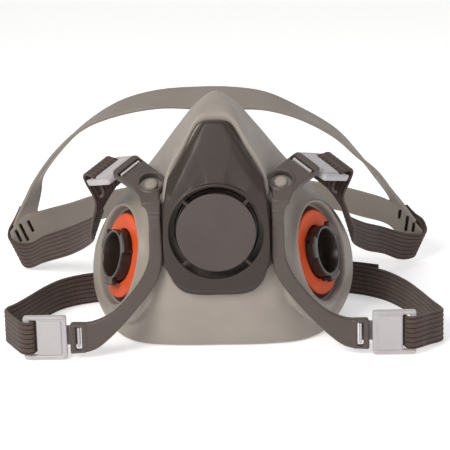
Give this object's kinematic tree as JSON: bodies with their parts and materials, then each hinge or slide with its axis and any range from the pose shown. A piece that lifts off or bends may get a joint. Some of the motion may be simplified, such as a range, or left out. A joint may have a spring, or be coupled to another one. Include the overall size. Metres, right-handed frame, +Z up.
{
  "type": "respirator",
  "caption": "Half-face respirator mask with bayonet filter ports, a valve cover and an elastic head harness with a crown cradle.",
  "frame": {"origin": "on the table, under the middle of the chin's flat", "axes": "+X to the right seen from the front, +Y from the mask's front towards the wearer, +Z up"},
  "size_m": [0.227, 0.199, 0.1206],
  "materials": {
    "seal": "matt warm grey moulded rubber with a soft sheen",
    "hard_plastic": "fine-textured brown-grey moulding",
    "tube_plastic": "smooth very dark brown moulding",
    "gasket": "orange rubber ring with a satin face",
    "valve": "thin pale silicone",
    "buckle": "milky, slightly translucent moulding",
    "webbing": "woven elastic webbing with ribs along its length",
    "cradle": "flexible light grey band, smooth and matt"
  },
  "bodies": {
    "mask": {"facepiece_seal": "seal", "port_connector_left": "tube_plastic", "port_connector_right": "tube_plastic", "port_gasket_left": "gasket", "port_gasket_right": "gasket", "center_adapter": "hard_plastic", "harness_yoke": "hard_plastic", "upper_strap_left": "webbing", "upper_strap_right": "webbing", "lower_strap_left": "webbing", "lower_strap_right": "webbing", "neck_clasp_eye": "hard_plastic"},
    "cover": {"exhalation_cover": "hard_plastic"},
    "exhalation_flap": {"exhalation_valve": "valve"},
    "inhalation_flap_left": {"inhalation_valve_left": "valve"},
    "upper_buckle_left_body": {"upper_buckle_left": "buckle"},
    "lower_buckle_left_body": {"lower_buckle_left": "buckle"},
    "inhalation_flap_right": {"inhalation_valve_right": "valve"},
    "upper_buckle_right_body": {"upper_buckle_right": "buckle"},
    "lower_buckle_right_body": {"lower_buckle_right": "buckle"},
    "clasp_hook": {"neck_clasp_hook": "hard_plastic"},
    "cradle": {"head_cradle": "cradle"}
  },
  "joints": [
    {"name": "cover_release", "type": "slide", "parent": "mask", "child": "cover", "axis": [0, -1, 0], "range_m": [0, 0.02]},
    {"name": "exhalation_flap_lift", "type": "slide", "parent": "mask", "child": "exhalation_flap", "axis": [0, -1, 0], "range_m": [0, 0.0015], "stiffness_N_per_m": 15},
    {"name": "inhalation_flap_left_lift", "type": "slide", "parent": "mask", "child": "inhalation_flap_left", "axis": [0.883, 0.412, -0.225], "range_m": [0, 0.0012], "stiffness_N_per_m": 15},
    {"name": "inhalation_flap_right_lift", "type": "slide", "parent": "mask", "child": "inhalation_flap_right", "axis": [-0.883, 0.412, -0.225], "range_m": [0, 0.0012], "stiffness_N_per_m": 15},
    {"name": "upper_buckle_left_swing", "type": "hinge", "parent": "mask", "child": "upper_buckle_left_body", "pos_m": [-0.04029, -0.02663, 0.08726], "axis": [-0.682, -0.5991, -0.4195], "range_deg": [-5, 10]},
    {"name": "lower_buckle_left_swing", "type": "hinge", "parent": "mask", "child": "lower_buckle_left_body", "pos_m": [-0.0662, -0.0439, 0.011], "axis": [0, 0, -1], "range_deg": [-10, 10]},
    {"name": "upper_buckle_right_swing", "type": "hinge", "parent": "mask", "child": "upper_buckle_right_body", "pos_m": [0.04029, -0.02663, 0.08726], "axis": [-0.682, 0.5991, 0.4195], "range_deg": [-5, 10]},
    {"name": "lower_buckle_right_swing", "type": "hinge", "parent": "mask", "child": "lower_buckle_right_body", "pos_m": [0.0662, -0.0439, 0.011], "axis": [0, 0, 1], "range_deg": [-10, 10]},
    {"name": "clasp_unhook", "type": "slide", "parent": "mask", "child": "clasp_hook", "axis": [0, -1, 0], "range_m": [0, 0.006]},
    {"name": "cradle_swing", "type": "hinge", "parent": "mask", "child": "cradle", "pos_m": [-0.0065, 0.116, 0.016], "axis": [1, 0, 0], "range_deg": [-25, 40]}
  ]
}
